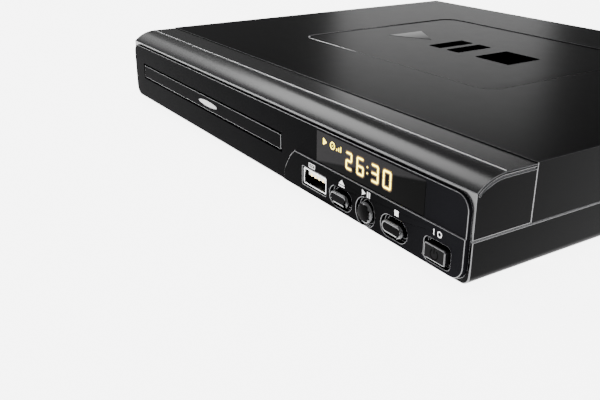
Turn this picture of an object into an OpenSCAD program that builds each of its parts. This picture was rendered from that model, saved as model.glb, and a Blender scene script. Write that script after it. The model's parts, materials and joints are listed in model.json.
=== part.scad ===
// Compact disc player with a motorised tray, taken apart as on a bench.
// The front faces -Y, the feet stand on Z = 0, and X = 0 is the middle of the body.

/* [Body] */
// Width of the body
body_w = 240; // [240:1:280]
// Depth of the body, from the front moulding to the rear panel
body_d = 200; // [200:1:240]
// Height of the shell, without the feet
shell_h = 31.4; // [31.4:0.2:40]
// Thickness of the moulded walls
wall = 2.2; // [1.6:0.1:2.4]
// Thickness of the floor
floor_t = 1.8; // [1.4:0.1:2.2]
// Radius of the body's lower long edges
edge_r = 3; // [1:0.5:5]
// Height of the seam between the shell halves, above the shell's underside
seam_h = 13.8; // [12:0.2:16]
// Width and depth of the groove along the seam
seam_groove = 0.4; // [0.2:0.1:0.6]

/* [Top field] */
// Width of the sunken field in the top
field_w = 124.6; // [80:0.1:150]
// Depth of the sunken field, from front to back
field_d = 96.3; // [60:0.1:130]
// Distance of the field's middle to the right of the body's
field_x = -3.3; // [-20:0.1:20]
// Distance of the field's middle from the front of the body
field_y = 113.2; // [100:0.1:118]
// Radius of the field's corners
field_r = 8; // [3:0.5:15]

/* [Feet] */
// Height of the rubber feet
foot_h = 3; // [2:0.5:8]
// Radius of a foot
foot_r = 7; // [5:0.5:9]
// Distance of a foot's centre from the body's sides
foot_inset = 20; // [16:1:30]

/* [Front moulding] */
// Depth of the front moulding, up to the top cover's step
nose_d = 22; // [18:1:26]
// Radius of the rounded nose
nose_r = 15; // [12:0.5:18]
// Height of the rounded nose
nose_drop = 4.1; // [3:0.1:5]
// Depth of the front frame that carries the panel
frame_d = 4; // [3:0.5:5]

/* [Front panel] */
// Distance of the panel's edge from the body's sides
panel_side = 1.3; // [1:0.1:2]
// Distance of the panel's edge from the nose and from the underside
panel_gap = 1.1; // [0.8:0.1:2]
// Radius of the panel's corners
panel_r = 4.6; // [3:0.2:8]
// Thickness of the panel
panel_t = 3.1; // [2.6:0.1:3.5]
// How far the panel stands proud of the moulding
panel_proud = 1.1; // [0.6:0.1:1.4]
// Thickness of the raised control strip
strip_t = 0.4; // [0.2:0.1:0.6]
// Width of the control strip, from the panel's right edge
strip_w = 85; // [83:1:92]
// Width of the display window
window_w = 54.7; // [40:0.5:56]
// Height of the display window
window_h = 11; // [8:0.5:11.5]
// Distance of the window from the panel's right edge
window_side = 16.8; // [14:0.2:20]

/* [Buttons] */
// Width of the two long buttons
long_w = 9.6; // [8:0.2:10]
// Height of the long buttons
long_h = 4.1; // [3.5:0.1:4.5]
// Radius of the round button
round_r = 3.5; // [3:0.1:3.8]
// Width of the power button
power_w = 8.6; // [7:0.2:9]
// Height of the power button
power_h = 4.8; // [4:0.1:5]
// Distances of open, play, stop and power from the panel's right edge
button_side = [56.6, 43.3, 29.2, 10.2];
// Height of the buttons' centres above the floor
button_rise = 4.1; // [4.1:0.1:5]
// How far a cap stands proud of the control strip
cap_proud = 1; // [0.4:0.1:1.4]
// Travel of a key
key_travel = 0.5; // [0.3:0.1:0.8]
// Travel of the power button
power_travel = 1.8; // [1:0.1:2]
// Width of the dished surround of a button
dish = 1.6; // [1:0.1:2]
// Clearance of a cap in its hole
cap_gap = 0.25; // [0.2:0.05:0.5]

/* [Disc tray] */
// Diameter of a disc
disc_d = 120; // [115:1:122]
// Height of the disc tray
tray_h = 6; // [6:0.1:6.3]
// Length of the disc tray
tray_l = 156.4; // [150:1:160]
// Travel of the disc tray
tray_travel = 132; // [100:1:134]
// Distance of the disc's centre from the front of the body
disc_y = 72; // [71:0.5:73]
// Thickness of the tray's floor
tray_floor = 1.4; // [1:0.1:1.6]
// Height of the tray above the case's floor
tray_rise = 9.6; // [9.6:0.1:9.9]
// Thickness of the tray door
door_t = 2.8; // [2:0.1:3]
// Gap around the tray door
door_gap = 0.8; // [0.6:0.1:1]

/* [Loader] */
// Radius of the large pulley
pulley_r = 11; // [9:0.5:11]
// Radius of the motor's pulley
motor_pulley_r = 3; // [2.4:0.1:4]
// Radius of the loading motor
motor_r = 10.5; // [8:0.5:11]
// Radius of the belt's section
belt_r = 0.6; // [0.4:0.1:0.6]
// Travel of the cam slider
cam_travel = 24; // [22:1:26]
// Angle by which the deck lies lowered
deck_drop = 3.6; // [3.4:0.1:3.7]
// Running clearance of shafts and pins
run_gap = 0.05; // [0.02:0.01:0.08]
// Sliding clearance of flat guides
slide_gap = 0.3; // [0.2:0.05:0.4]

/* [Pickup] */
// Half the spacing of the guide rods
rod_x = 24; // [23.5:0.1:24.5]
// Radius of a guide rod
rod_r = 1.5; // [1.2:0.1:1.6]
// Smallest distance of the lens from the disc's centre
lens_min = 24; // [23:0.5:25]
// Travel of the pickup
pickup_travel = 34; // [28:1:34]

/* [Rear] */
// Radius of a phono jack's barrel
jack_r = 4.15; // [4.1:0.05:4.3]
// Length of a phono jack's barrel behind the rear panel
jack_l = 8; // [6:0.5:10]
// Spacing of the phono jacks
jack_pitch = 14; // [12.5:0.5:15]
// Distance of the digital socket from the nearest phono jack
hdmi_gap = 20.3; // [16:0.1:24]
// Thickness of the rear panel
rear_t = 1.6; // [1:0.1:2]
// Width of the mains inlet
inlet_w = 21; // [19:0.5:24]
// Height of the mains inlet
inlet_h = 13; // [12:0.5:14]

/* [Boards] */
// Thickness of a circuit board
board_t = 1.6; // [1.2:0.1:1.6]
// Height of the boards' underside above the floor
board_rise = 4.4; // [3.5:0.1:5]
// Depth of the main board
main_d = 136; // [110:1:140]
// Depth of the power board
power_d = 29; // [26:1:30]
// Width of the power board
power_board_w = 96; // [80:1:100]
// Distance of the front board behind the moulding's face
front_board_y = 9; // [9:0.1:9.5]

/* [Hidden] */
$fn = 64;

// Heights of the shell
case_z = foot_h;
floor_z = case_z + floor_t;
seam_z = case_z + seam_h;
cover_step = 0.3;
field_line = 0.6;
nose_z = case_z + shell_h;
cover_z = nose_z + cover_step;
roof_z = cover_z - wall;
nose_edge_z = nose_z - nose_drop;
nose_run = sqrt(pow(nose_r, 2) - pow(nose_r - nose_drop, 2));

// Places along the body: y counts back from the moulding's face, and at_front() centres the whole
half_w = body_w / 2;
inner_x = half_w - wall;
y_out = panel_proud + strip_t + cap_proud;
front_shift = (y_out - body_d - jack_l) / 2;
rear_y = body_d - rear_t;

// Front panel
panel_w = body_w - 2 * panel_side;
panel_z0 = case_z + panel_gap;
panel_z1 = nose_edge_z - panel_gap;
panel_h = panel_z1 - panel_z0;
panel_mid_z = (panel_z0 + panel_z1) / 2;
panel_right = half_w - panel_side;
panel_y = -panel_proud;
panel_back = panel_y + panel_t;
strip_y = panel_y - strip_t;
lip = 1.5;
fit = 0.15;
button_x = [for (s = button_side) panel_right - s];
button_z = floor_z + button_rise;
cap_y = strip_y - cap_proud;
cap_back = panel_back + 1.4;
dish_y = panel_y + 1.3;
window_x = panel_right - window_side - window_w / 2;
window_z = panel_z1 - 0.8 - window_h / 2;
usb_w = 13.8;
usb_h = 5.8;
usb_x = panel_right - 72.4;
usb_z = floor_z + 5.1;
usb_wall = 0.4;

// Tray, from the disc outwards
pocket_r = disc_d / 2 + 0.75;
tray_w = disc_d + 9;
door_w = tray_w + 1.4;
rail_x = tray_w / 2 + 2;
loader_x = rail_x + 2.5;
tray_x = -inner_x + 7.5 + loader_x;
tray_z = floor_z + tray_rise;
tray_top = tray_z + tray_h;
pocket_z = tray_top - 2.3;
hollow_z = pocket_z - tray_floor;
slot_z = tray_z + tray_h / 2 + 0.05;
slot_h = tray_h + 1.25;
slot_w = door_w + 2 * door_gap;
door_h = slot_h - 2 * door_gap;
tray_y = panel_y + door_t;
tray_end = tray_y + tray_l;
hub_r = 20;
turntable_r = 14.5;
cone_r = 7.4;
cone_h = 0.8;
slot_back = disc_y + 62;

// Loader, in layers above its floor plate
plate_z = floor_z + 4.8;
plate_top = plate_z + 1.6;
ledge_z = tray_z - 0.2;
loader_y0 = frame_d + 2;
loader_y1 = disc_y + 90;
gear_y = 22;
module_mm = 1;
pinion_teeth = 14;
gear_teeth = 24;
gear_x = tray_x + 40;
pinion_pr = pinion_teeth * module_mm / 2;
gear_pr = gear_teeth * module_mm / 2;
pulley_x = gear_x - pinion_pr - gear_pr;
motor_x = pulley_x - 35;
low_gear_z = plate_top + slide_gap;
pulley_z = low_gear_z + 1.7;
rack_gear_z = pulley_z + 1.6;
gear_t = 1.5;
pulley_t = 1.4;
post_r = 1.5;
bridge_z = tray_top + 2.8;
bridge_t = 1.6;
clamp_z = pocket_z + 1.7;
screw_r = 1.2;
inner_screw_l = 5;

// Deck, drawn level; it rests lowered about its rear hinge
hinge_y = disc_y + 78;
hinge_z = tray_z - 0.2;
deck_w = 76;
deck_z = hinge_z - 0.8;
deck_t = 1.6;
deck_y0 = disc_y - 25;
seat_z = pocket_z + 0.8;
rod_z = deck_z - 1.8;
cam_pin_r = 1;
cam_pin_x = tray_x - 4;
cam_y = deck_y0 - 5.1;
cam_lift = (hinge_y - cam_y) * sin(deck_drop);
deck_gap_y = cam_y - 1.6;

// Boards
board_z = floor_z + board_rise;
main_x0 = tray_x + loader_x + 10;
main_x1 = half_w - 11;
main_y1 = rear_y - 2;
main_y0 = main_y1 - main_d;
board_top = board_z + board_t;
chip_x = (main_x0 + main_x1) / 2;
chip_y = main_y0 + 45;
jack_z = board_top + 7.7;
split_x = tray_x + slot_w / 2 + 5.3;
collar = 0.2;
jack_x = [for (i = [0:2]) main_x1 - 9 - i * jack_pitch];
hdmi_x = jack_x[2] - hdmi_gap;
inlet_x = -half_w + 30;
inlet_z = jack_z;
power_x0 = -half_w + 12;
post_x = half_w - 6;
cover_posts = [for (x = [-post_x, post_x], y = [nose_d + 12, body_d - 12]) [x, y]];
post_z = case_z + 10;
loader_post_x = tray_w / 2 - 9.5;
loader_posts = [for (x = [-1, 1], y = [loader_y0 + 7, loader_y1 - 4]) [tray_x + x * loader_post_x, y]];
main_posts = [for (x = [main_x0 + 4, main_x1 - 4], y = [main_y0 + 4, main_y1 - 30]) [x, y]];
power_posts = [for (x = [power_x0 + 4, power_x0 + power_board_w - 4]) [x, rear_y - 9]];
front_x0 = tray_x + loader_x + 6.3;
front_x1 = panel_right - 3.7;
switch_y = front_board_y - 3.6;
front_z0 = floor_z + 0.8;
front_z1 = roof_z - 3;
front_posts = [for (x = [front_x0 + 3, front_x1 - 3]) [x, seam_z + 6]];

black = [0.05, 0.05, 0.055];
dark = [0.11, 0.11, 0.12];
steel = [0.72, 0.73, 0.75];
brass_colour = [0.8, 0.62, 0.28];
board_green = [0.05, 0.28, 0.14];
white_plastic = [0.9, 0.9, 0.88];

// A box between two corners
module block(a, b) {
    translate(a) cube(b - a);
}

module at_front() {
    translate([0, front_shift, 0]) children();
}

// Extrudes an outline drawn in X and Z along Y
module along_y(y0, y1) {
    translate([0, y1, 0]) rotate([90, 0, 0]) linear_extrude(y1 - y0) children();
}

// Extrudes an outline drawn in Y and Z along X
module along_x(x0, x1) {
    translate([x0, 0, 0]) rotate([90, 0, 90]) linear_extrude(x1 - x0) children();
}

module rounded(w, h, r) {
    square([w - 2 * r, h], center = true);
    square([w, h - 2 * r], center = true);
    for (x = [-1, 1], y = [-1, 1]) translate([x * (w / 2 - r), y * (h / 2 - r)]) circle(r);
}

module column(r, z0, z1) {
    translate([0, 0, z0]) cylinder(r = r, h = z1 - z0);
}

module rod_y(r, x, z, y0, y1) {
    translate([x, y1, z]) rotate([90, 0, 0]) cylinder(r = r, h = y1 - y0);
}

module rod_x(r, y, z, x0, x1) {
    translate([x0, y, z]) rotate([0, 90, 0]) cylinder(r = r, h = x1 - x0);
}

// A cross-head screw whose head stands on z = 0
module screw(length) {
    difference() {
        cylinder(r = 2 * screw_r, h = 1.2);
        translate([-1.5, -0.25, 0.6]) cube([3, 0.5, 1]);
        translate([-0.25, -1.5, 0.6]) cube([0.5, 3, 1]);
    }
    translate([0, 0, -length]) cylinder(r = screw_r, h = length + 0.1);
}

// Involute gear outline, with a tooth on the X axis
function inv(a) = tan(a) - a * PI / 180;
function half_tooth(teeth, rb, r) =
    let (a = acos(min(1, rb / r))) (90 / teeth) * 0.86 + (inv(20) - inv(a)) * 180 / PI;
function polar(r, a) = [r * cos(a), r * sin(a)];

module gear_outline(teeth) {
    pr = teeth * module_mm / 2;
    rb = pr * cos(20);
    tip = pr + 0.8 * module_mm;
    root = pr - 1.1 * module_mm;
    flank = [for (i = [0:5]) max(rb, root) + (tip - max(rb, root)) * i / 5];
    points = [
        for (t = [0:teeth - 1]) let (mid = t * 360 / teeth) each concat(
            [polar(root, mid - half_tooth(teeth, rb, rb))],
            [for (r = flank) polar(r, mid - half_tooth(teeth, rb, r))],
            [for (i = [5:-1:0]) polar(flank[i], mid + half_tooth(teeth, rb, flank[i]))],
            [polar(root, mid + half_tooth(teeth, rb, rb))]
        )
    ];
    polygon(points);
}

// Rack outline with teeth towards -X; the pitch line is x = 0 and a gap lies at y = 0
module rack_outline(first, last) {
    pitch = PI * module_mm;
    slope = tan(20);
    tip = 0.8 * module_mm;
    root = 1.2 * module_mm;
    half = pitch / 4 * 0.86;
    for (k = [first:last]) translate([0, (k + 0.5) * pitch])
        polygon([
            [-tip, -half + tip * slope], [-tip, half - tip * slope],
            [root, half + root * slope], [root, -half - root * slope]
        ]);
}

// Section of the front moulding in Y and Z, drawn in by a distance
module nose_section(inset, back) {
    r = nose_r - inset;
    difference() {
        translate([inset, seam_z - 1]) square([back - inset, nose_z - inset - seam_z + 1]);
        difference() {
            translate([inset - 1, nose_z - nose_r]) square([nose_run - inset + 1, nose_r]);
            translate([nose_run, nose_z - nose_r]) circle(r, $fn = 160);
            translate([inset - 2, nose_z - 2 * nose_r]) square([nose_run, 2 * nose_r - nose_drop - inset]);
        }
    }
}

module panel_outline(grow) {
    translate([0, panel_mid_z]) rounded(panel_w + 2 * grow, panel_h + 2 * grow, panel_r + grow);
}

// The pocket for the panel and the opening behind it, cut in the front frame
module panel_seat() {
    along_y(-1, panel_back) panel_outline(fit);
    translate([0, 0, panel_mid_z]) along_y(0, frame_d + 1)
        rounded(panel_w - 2 * lip, panel_h - 2 * lip, panel_r - lip);
    block([8 - panel_w / 2, panel_back - 0.1, floor_z], [panel_w / 2 - 5, frame_d + 1, panel_mid_z]);
}

// Lower half of the shell
module bottom_case() color(black) at_front() {
    difference() {
        along_y(0, body_d) difference() {
            translate([0, case_z + body_w / 8]) rounded(body_w, body_w / 4, edge_r);
            translate([-body_w, seam_z]) square([2 * body_w, body_w]);
        }
        block([-inner_x, frame_d, floor_z], [inner_x, body_d + 1, seam_z + 1]);
        panel_seat();
        seam_cut(body_d);
        vents();
        for (p = cover_posts) translate([p[0], p[1], 0]) {
            column(screw_r + 0.5, 0, floor_z + 1);
            column(2 * screw_r + 0.6, 0, case_z + 2.6);
        }
        for (p = foot_places()) translate([p[0], p[1], 0]) column(2.1, 0, floor_z + 1);
    }
    for (p = cover_posts) translate([p[0], p[1], 0]) difference() {
        column(3.4, case_z + 0.8, post_z);
        column(screw_r + 0.5, 0, post_z + 1);
        column(2 * screw_r + 0.6, 0, case_z + 2.6);
    }
    for (p = loader_posts) standoff(p, plate_z);
    for (p = concat(main_posts, power_posts)) standoff(p, board_z);
    for (s = [-1, 1]) block([s * (inner_x - 2) - 2.1, rear_y - 3, floor_z - 0.1],
        [s * (inner_x - 2) + 2.1, rear_y, seam_z]);
}

module standoff(p, top) {
    translate([p[0], p[1], 0]) difference() {
        column(3.2, floor_z - 0.1, top);
        column(screw_r + run_gap, floor_z + 0.5, top + 1);
    }
}

// Shadow groove along the outside of the seam
module seam_cut(back) {
    for (s = [-1, 1]) block([s * half_w - seam_groove, -1, seam_z - seam_groove],
        [s * half_w + seam_groove, back + 1, seam_z + 1]);
}

module vents() {
    for (i = [0:9]) along_vent(main_x0 + 12 + i * 5);
}

module along_vent(x) {
    translate([x, body_d * 0.56, 0]) linear_extrude(floor_z + 1) rounded(2, 46, 0.9);
}

function foot_places() = [
    for (y = [foot_inset, body_d - foot_inset], x = [-1, 1]) [x * (half_w - foot_inset), y]
];

module foot(i) color([0.03, 0.03, 0.03]) at_front() translate([foot_places()[i][0], foot_places()[i][1], 0]) {
    rotate_extrude() polygon([
        [0, 0], [foot_r - 0.6, 0], [foot_r, 0.6], [foot_r, foot_h], [2, foot_h], [2, floor_z], [0, floor_z]
    ]);
}

// Upper shell with the sunken field in its top
module top_cover() color(black) at_front() {
    difference() {
        block([-half_w, nose_d, seam_z], [half_w, body_d, cover_z]);
        block([-inner_x, nose_d - 1, seam_z - 1], [inner_x, body_d + 1, roof_z]);
        translate([field_x, field_y, cover_z - 0.3]) linear_extrude(1)
            rounded(field_w, field_d, field_r);
        translate([field_x, field_y, cover_z - 0.6]) linear_extrude(1) difference() {
            rounded(field_w, field_d, field_r);
            rounded(field_w - 2 * field_line, field_d - 2 * field_line, field_r - field_line);
        }
    }
    for (p = cover_posts) translate([p[0], p[1], 0]) difference() {
        column(3, post_z, roof_z + 0.1);
        column(screw_r + run_gap, 0, post_z + 8);
    }
    for (s = [-1, 1]) block([s * (inner_x - 2) - 2.1, rear_y - 3, seam_z + 0.2],
        [s * (inner_x - 2) + 2.1, rear_y, roof_z + 0.1]);
}

// Front moulding: rounded nose, cheeks and the upper part of the panel's frame
module front_bezel() color(black) at_front() {
    difference() {
        along_x(-half_w, half_w) intersection() {
            nose_section(0, nose_d);
            translate([-1, seam_z]) square([nose_d + 1, shell_h]);
        }
        along_x(-inner_x, inner_x) intersection() {
            nose_section(wall, nose_d + 1);
            translate([frame_d, seam_z - 1]) square([nose_d, shell_h]);
        }
        panel_seat();
        for (s = [-1, 1]) translate([s * half_w, 0, 0]) along_x(-seam_groove, seam_groove) difference() {
            nose_section(0.9, nose_d + 1);
            nose_section(1.5, nose_d + 2);
            square([nose_d + 1, nose_edge_z - 1]);
        }
    }
    block([-inner_x + 4, nose_d - 3, roof_z - 1.6], [inner_x - 4, nose_d + 3, roof_z - cover_step]);
    block([-inner_x + 4, nose_d - 3, roof_z - 1.6], [inner_x - 4, nose_d - 0.2, roof_z + 0.1]);
}

// Outline of the raised control strip, with its slanted left end
module strip_outline() {
    x = panel_right - strip_w;
    polygon([
        [x, seam_z + 0.3], [x - 2.8, seam_z - 2.3], [x - 6.4, seam_z - 7.6], [x - 7.6, case_z],
        [half_w, case_z], [half_w, seam_z + 0.3]
    ]);
}

module button_outline(i, grow) {
    translate([button_x[i], button_z]) {
        if (i == 1) circle(round_r + grow);
        else if (i == 3) rounded(power_w + 2 * grow, power_h + 2 * grow, 0.6 + grow);
        else rounded(long_w + 2 * grow, long_h + 2 * grow, long_h / 2 + grow - 0.01);
    }
}

// Front moulding, made as a tray surround and a control panel that meet beside the slot
module front_moulding() {
    difference() {
        union() {
            along_y(panel_y, panel_back) panel_outline(0);
            along_y(strip_y, panel_y + 0.1) intersection() {
                panel_outline(0);
                strip_outline();
            }
        }
        along_y(strip_y - 1, panel_back + 1) translate([tray_x, slot_z])
            square([slot_w, slot_h], center = true);
        along_y(strip_y - 1, panel_back + 1) translate([window_x, window_z])
            square([window_w, window_h], center = true);
        along_y(strip_y - 1, panel_back + 1) translate([usb_x, usb_z])
            square([usb_w + 0.8, usb_h + 0.8], center = true);
        for (i = [0:3]) {
            along_y(strip_y - 1, dish_y) button_outline(i, i == 3 ? dish * 0.75 : dish * 0.9);
            along_y(strip_y - 1, panel_back + 1) button_outline(i, cap_gap);
        }
    }
    for (p = front_posts) difference() {
        rod_y(2.4, p[0], p[1], panel_back - 0.1, front_board_y);
        rod_y(screw_r + run_gap, p[0], p[1], panel_back + 0.6, front_board_y + 1);
    }
}

module moulding_part(x0, x1) intersection() {
    front_moulding();
    block([x0, strip_y - 1, 0], [x1, front_board_y + 1, shell_h]);
}

module front_panel() color(dark) at_front() moulding_part(-half_w, split_x);

module control_panel() color(dark) at_front() moulding_part(split_x, half_w);

module display_window() color([0.03, 0.03, 0.035]) at_front() {
    along_y(panel_y, panel_back) translate([window_x, window_z])
        square([window_w - 0.2, window_h - 0.2], center = true);
}

// A button: cap, retaining flange behind the panel, and stem
module button(i, stem_end) color(black) at_front() {
    intersection() {
        along_y(cap_y - 1, panel_back + 0.5) button_outline(i, 0);
        if (i == 1) {
            translate([button_x[i], cap_y + 13, button_z]) sphere(13, $fn = 96);
        } else {
            along_y(cap_y, panel_back + 0.5) button_outline(i, 1);
        }
    }
    along_y(panel_back + slide_gap, cap_back) button_outline(i, i == 1 ? 0.5 : 0.8);
    rod_y(1.2, button_x[i], button_z, cap_back - 0.1, stem_end);
}

module plunger(i) color(white_plastic) at_front() {
    rod_y(1.6, button_x[i], button_z, switch_y - 0.8, switch_y + 1.6);
}

module key_switches() color(steel) at_front() {
    for (i = [0:2]) difference() {
        translate([button_x[i], 0, button_z]) along_y(switch_y, front_board_y) square(5.8, center = true);
        rod_y(1.7, button_x[i], button_z, switch_y - 1, switch_y + 2.6);
    }
}

module power_switch() color(steel) at_front() difference() {
    translate([button_x[3], 0, button_z]) along_y(cap_back + power_travel + 0.4, front_board_y)
        square([7, 6], center = true);
    rod_y(1.3, button_x[3], button_z, switch_y - 2, front_board_y - 0.4);
}

module power_button() button(3, front_board_y - 0.6 - power_travel);

module front_board() color(board_green) at_front() difference() {
    block([front_x0, front_board_y, front_z0], [front_x1, front_board_y + board_t, front_z1]);
    for (p = front_posts) rod_y(screw_r + 0.2, p[0], p[1], 0, front_board_y + 9);
}

module display_module() color([0.16, 0.16, 0.17]) at_front() {
    along_y(panel_back + 0.4, front_board_y) translate([window_x, window_z]) square([40, 9.4], center = true);
}

module remote_receiver() color([0.1, 0.05, 0.06]) at_front() {
    x = window_x + window_w / 2 - 3.8;
    along_y(front_board_y - 3, front_board_y) translate([x, window_z]) square([6, 7], center = true);
    translate([x, front_board_y - 3, window_z]) sphere(2);
}

module usb_shell() color(steel) at_front() difference() {
    translate([usb_x, 0, usb_z]) along_y(panel_y, front_board_y) rounded(usb_w, usb_h, 0.6);
    translate([usb_x, 0, usb_z]) along_y(panel_y - 1, front_board_y - usb_wall)
        square([usb_w - 2 * usb_wall, usb_h - 2 * usb_wall], center = true);
}

module usb_tongue() color(white_plastic) at_front() {
    translate([usb_x, 0, usb_z + 1.2]) along_y(panel_y + 1.2, front_board_y - usb_wall)
        square([11, 1.8], center = true);
}

// Rear panel, with its openings for the sockets
module rear_panel() color(black) at_front() difference() {
    block([-inner_x + 0.2, rear_y, floor_z + 0.1], [inner_x - 0.2, body_d, roof_z - 0.1]);
    for (x = jack_x) rod_y(jack_r + collar + 0.1, x, jack_z, rear_y - 1, body_d + 1);
    translate([hdmi_x, 0, board_top + 3]) along_y(rear_y - 1, body_d + 1) square([16, 6.4], center = true);
    translate([inlet_x, 0, inlet_z]) along_y(rear_y - 1, body_d + 1)
        rounded(inlet_w + 0.3, inlet_h + 0.3, inlet_h / 2);
    for (i = [0:8]) translate([tray_x + 10 + i * 5, 0, seam_z + 2]) along_y(rear_y - 1, body_d + 1)
        rounded(2, 12, 0.9);
}

module phono_jack(i, c) color(c) at_front() difference() {
    union() {
        block([jack_x[i] - 5.2, rear_y - 11, board_top], [jack_x[i] + 5.2, rear_y, jack_z + 5.4]);
        rod_y(jack_r + collar, jack_x[i], jack_z, rear_y - 1, body_d);
        rod_y(jack_r, jack_x[i], jack_z, body_d - 1, body_d + jack_l);
    }
    rod_y(1.6, jack_x[i], jack_z, rear_y - 8, body_d + jack_l + 1);
}

module hdmi_socket() color(steel) at_front() {
    z = board_top + 3;
    difference() {
        translate([hdmi_x, 0, z]) along_y(rear_y - 10, body_d) square([15, 6], center = true);
        translate([hdmi_x, 0, z]) along_y(rear_y - 8, body_d + 1) square([14, 5], center = true);
    }
    translate([hdmi_x, 0, z + 0.8]) along_y(rear_y - 8.1, body_d - 1) square([12, 1.2], center = true);
}

module mains_inlet() color(black) at_front() difference() {
    union() {
        block([inlet_x - inlet_w / 2 - 1, rear_y - 16, board_top],
            [inlet_x + inlet_w / 2 + 1, rear_y, inlet_z + inlet_h / 2]);
        translate([inlet_x, 0, inlet_z]) along_y(rear_y - 1, body_d)
            rounded(inlet_w, inlet_h, inlet_h / 2 - 0.01);
    }
    translate([inlet_x, 0, inlet_z]) along_y(rear_y - 12, body_d + 1) rounded(17, 9, 4.49);
}

module inlet_pins() color(steel) at_front() {
    for (s = [-1, 1]) rod_y(1.15, inlet_x + s * 4.3, inlet_z, rear_y - 12, body_d - 1);
}

module board_plate(x0, x1, y0, y1, posts) {
    difference() {
        block([x0, y0, board_z], [x1, y1, board_top]);
        for (p = posts) translate([p[0], p[1], 0]) column(screw_r + 0.2, 0, board_z + 9);
    }
}

module main_board() color(board_green) at_front() {
    board_plate(main_x0, main_x1, main_y0, main_y1, main_posts);
    block([min(hdmi_x - 10, main_x0), loader_y1 + 2, board_z], [main_x0 + 1, main_y1, board_top]);
}

module power_board() color([0.55, 0.4, 0.22]) at_front()
    board_plate(power_x0, power_x0 + power_board_w, rear_y - 2 - power_d, rear_y - 2, power_posts);

module main_chip() color([0.08, 0.08, 0.09]) at_front() {
    block([chip_x - 10, chip_y - 10, board_top], [chip_x + 10, chip_y + 10, board_top + 1.6]);
    block([chip_x - 6, chip_y + 22, board_top], [chip_x + 6, chip_y + 32, board_top + 1.2]);
}

module heat_sink() color(steel) at_front() {
    z = board_top + 1.6;
    block([chip_x - 11, chip_y - 11, z], [chip_x + 11, chip_y + 11, z + 1.6]);
    for (i = [0:7]) translate([chip_x - 11 + i * 3, chip_y - 11, z + 1.5]) cube([1, 22, 5.5]);
}

module board_capacitors() color([0.1, 0.12, 0.3]) at_front() {
    for (i = [0:3]) translate([main_x0 + 8 + i * 10, main_y0 + 18, 0]) column(2.5, board_top, board_top + 8);
    for (i = [0:1]) translate([main_x1 - 9, chip_y + i * 12, 0]) column(3.1, board_top, board_top + 9);
    translate([power_x0 + power_board_w - 18, rear_y - 10, 0]) column(6, board_top, board_top + 15);
}

module transformer() color([0.75, 0.62, 0.2]) at_front() {
    x = power_x0 + power_board_w / 2;
    y = rear_y - 18;
    block([x - 10, y - 8, board_top], [x + 10, y + 8, board_top + 2]);
    block([x - 6, y - 7, board_top + 1.9], [x + 6, y + 7, board_top + 14.1]);
    block([x - 10, y - 8, board_top + 14], [x + 10, y + 8, board_top + 16]);
}

module cover_screws() color(steel) at_front() {
    for (p = cover_posts) translate([p[0], p[1], case_z + 2.6]) mirror([0, 0, 1]) screw(14);
}

module inner_screws() color(steel) at_front() {
    for (p = loader_posts) translate([p[0], p[1], plate_top]) screw(inner_screw_l);
    for (p = concat(main_posts, power_posts)) translate([p[0], p[1], board_top]) screw(inner_screw_l);
    for (p = front_posts) translate([p[0], front_board_y + board_t, p[1]]) rotate([-90, 0, 0]) screw(inner_screw_l);
}

// Loader frame: floor plate, tray guides, gear posts and the deck's hinge lugs
module loader_frame() color([0.2, 0.2, 0.21]) at_front() {
    difference() {
        block([tray_x - loader_x, loader_y0, plate_z], [tray_x + loader_x, loader_y1, plate_top]);
        block([tray_x - deck_w / 2 - 1, deck_gap_y, plate_z - 1],
            [tray_x + deck_w / 2 + 1, hinge_y + 6, plate_top + 1]);
        translate([motor_x, gear_y, 0]) column(motor_r + 0.1, plate_z - 1, plate_top + 1);
        for (p = loader_posts) translate([p[0], p[1], 0]) column(screw_r + 0.2, 0, plate_top + 1);
    }
    for (s = [-1, 1]) {
        side_rail(s);
        lug(s);
    }
    for (x = [gear_x, pulley_x]) translate([x, gear_y, 0]) {
        column(post_r, plate_top - 0.1, rack_gear_z + gear_t);
        column(post_r + 0.8, plate_top - 0.1, low_gear_z - 0.1);
    }
}

module side_rail(s) {
    a = tray_x + s * loader_x;
    b = tray_x + s * rail_x;
    c = tray_x + s * (tray_w / 2 - 4.2);
    block([min(a, b), loader_y0, plate_z], [max(a, b), loader_y1, tray_top + 1.6]);
    block([min(b, c) - (s > 0 ? 0 : 0.1), loader_y0, plate_top - 0.1],
        [max(b, c) + (s > 0 ? 0.1 : 0), loader_y1, ledge_z]);
    g = tray_x + s * (tray_w / 2 + slide_gap);
    h = tray_x + s * (tray_w / 2 - 2);
    for (y = [loader_y0 + 2, disc_y - 30, disc_y + 40]) {
        block([min(b, g) - 0.05, y, ledge_z - 0.1], [max(b, g) + 0.05, y + 12, tray_top + 1.6]);
        block([min(b, h) - 0.05, y, tray_top + slide_gap], [max(b, h) + 0.05, y + 12, tray_top + 1.6]);
    }
}

module lug(s) {
    x0 = tray_x + s * (deck_w / 2 + 1.5);
    x1 = tray_x + s * (deck_w / 2 + 5.5);
    difference() {
        block([min(x0, x1), hinge_y - 3.5, plate_top - 0.1], [max(x0, x1), hinge_y + 3.5, hinge_z + 2.1]);
        rod_x(rod_r + run_gap, hinge_y, hinge_z, min(x0, x1) - 1, max(x0, x1) + 1);
    }
}

module loading_motor() color(steel) at_front() translate([motor_x, gear_y, 0]) {
    column(motor_r, floor_z + 0.8, low_gear_z + 1.2);
    difference() {
        column(motor_r + 2, plate_top, plate_top + 0.8);
        column(motor_r - 0.5, plate_top - 1, plate_top + 2);
    }
    column(1, low_gear_z, pulley_z + pulley_t + 0.4);
}

module motor_pulley() color(brass_colour) at_front() translate([motor_x, gear_y, 0])
    grooved_pulley(motor_pulley_r, 1 + run_gap);

// A pulley whose rim is grooved for the belt
module grooved_pulley(r, bore) {
    translate([0, 0, pulley_z]) rotate_extrude() polygon([
        [bore, 0], [r + 0.4, 0], [r + 0.4, 0.3], [r - belt_r, 0.3], [r - belt_r, pulley_t - 0.3],
        [r + 0.4, pulley_t - 0.3], [r + 0.4, pulley_t], [bore, pulley_t]
    ]);
}

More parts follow.
